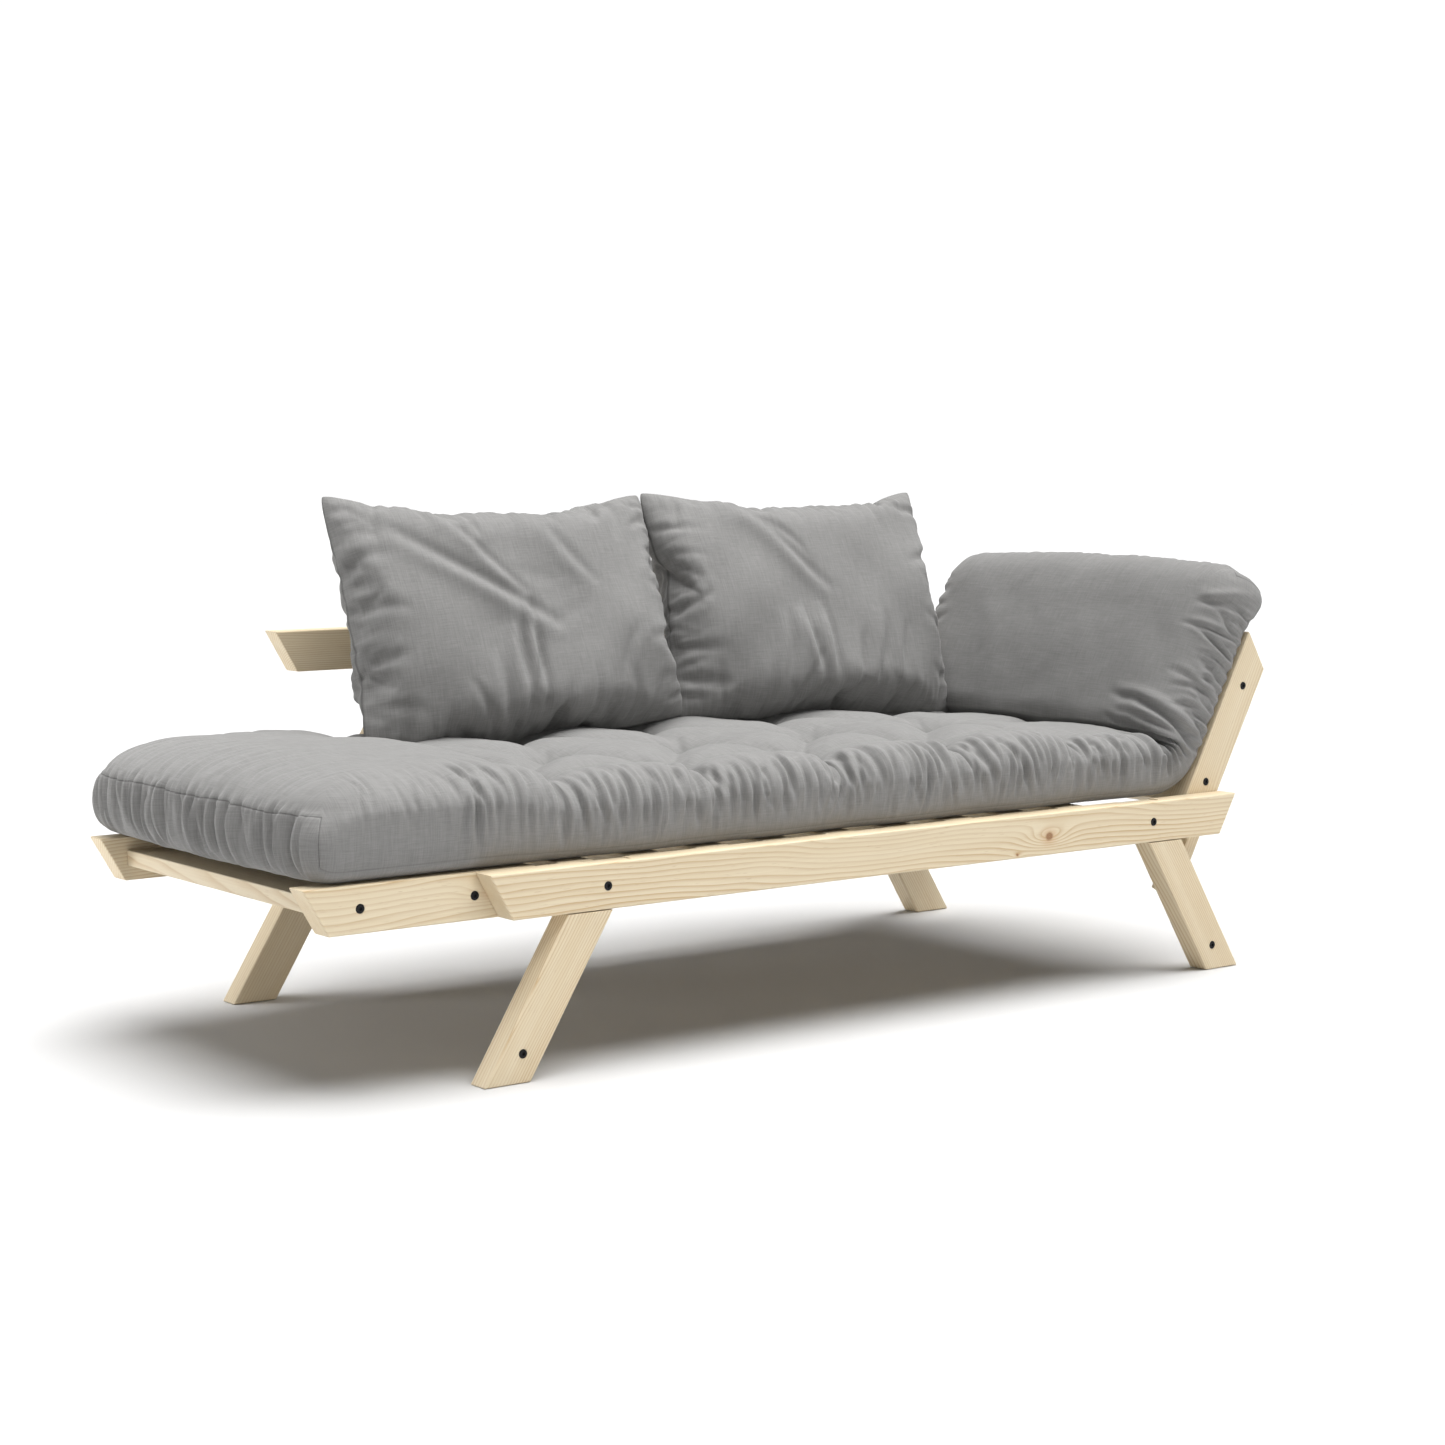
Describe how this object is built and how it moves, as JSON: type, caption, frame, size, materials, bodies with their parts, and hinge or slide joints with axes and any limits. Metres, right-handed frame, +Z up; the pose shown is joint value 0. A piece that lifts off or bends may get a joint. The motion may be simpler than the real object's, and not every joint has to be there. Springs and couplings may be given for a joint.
{
  "type": "futon sofa bed",
  "caption": "Slatted pine sofa bed with splayed legs, a long tufted futon, back pillows and hinged end frames that fold up as armrests or down as a bed.",
  "frame": {"origin": "middle of the footprint box, on the floor", "axes": "+X along the length towards the raised end, +Y towards the backrest, +Z up"},
  "size_m": [1.936, 0.8406, 0.8296],
  "materials": {
    "pine": "clear-lacquered pine, satin",
    "grey_fabric": "plain-woven mid-grey cotton blend, matt",
    "black_metal": "black socket heads, satin",
    "steel_pin": "plain steel"
  },
  "bodies": {
    "base": {"back_pillow_left": "grey_fabric", "back_pillow_right": "grey_fabric", "backrest_bolt_left": "black_metal", "backrest_bolt_right": "black_metal", "backrest_rail": "pine", "foot_screw_front_left": "black_metal", "foot_screw_front_right": "black_metal", "foot_screw_rear_left": "black_metal", "foot_screw_rear_right": "black_metal", "front_leg_bolt_left": "black_metal", "front_leg_bolt_right": "black_metal", "front_leg_left": "pine", "front_leg_right": "pine", "front_rail": "pine", "futon_middle": "grey_fabric", "left_pivot_pin_front": "steel_pin", "left_pivot_pin_rear": "steel_pin", "rear_leg_bolt_left": "black_metal", "rear_leg_bolt_right": "black_metal", "rear_leg_left": "pine", "rear_leg_right": "pine", "rear_rail": "pine", "right_pivot_pin_front": "steel_pin", "right_pivot_pin_rear": "steel_pin", "seat_slat_1": "pine", "seat_slat_2": "pine", "seat_slat_3": "pine", "seat_slat_4": "pine", "seat_slat_5": "pine", "seat_slat_6": "pine", "seat_slat_7": "pine", "seat_slat_8": "pine", "seat_slat_9": "pine", "slat_ledger_front": "pine", "slat_ledger_rear": "pine"},
    "left_end": {"futon_left_end": "grey_fabric", "left_end_bar_inner": "pine", "left_end_bar_outer": "pine", "left_end_board_front": "pine", "left_end_board_rear": "pine", "left_end_bolt_inner_front": "black_metal", "left_end_bolt_inner_rear": "black_metal", "left_end_bolt_outer_front": "black_metal", "left_end_bolt_outer_rear": "black_metal"},
    "right_end": {"futon_right_end": "grey_fabric", "right_end_bar_inner": "pine", "right_end_bar_outer": "pine", "right_end_board_front": "pine", "right_end_board_rear": "pine", "right_end_bolt_inner_front": "black_metal", "right_end_bolt_inner_rear": "black_metal", "right_end_bolt_outer_front": "black_metal", "right_end_bolt_outer_rear": "black_metal"}
  },
  "joints": [
    {"name": "left_end_fold", "type": "hinge", "parent": "base", "child": "left_end", "pos_m": [-0.63085, -0.0405, 0.2716], "axis": [0, 1, 0], "range_deg": [0, 61]},
    {"name": "right_end_fold", "type": "hinge", "parent": "base", "child": "right_end", "pos_m": [0.79415, -0.0405, 0.2716], "axis": [0, 1, 0], "range_deg": [0, 61]}
  ]
}
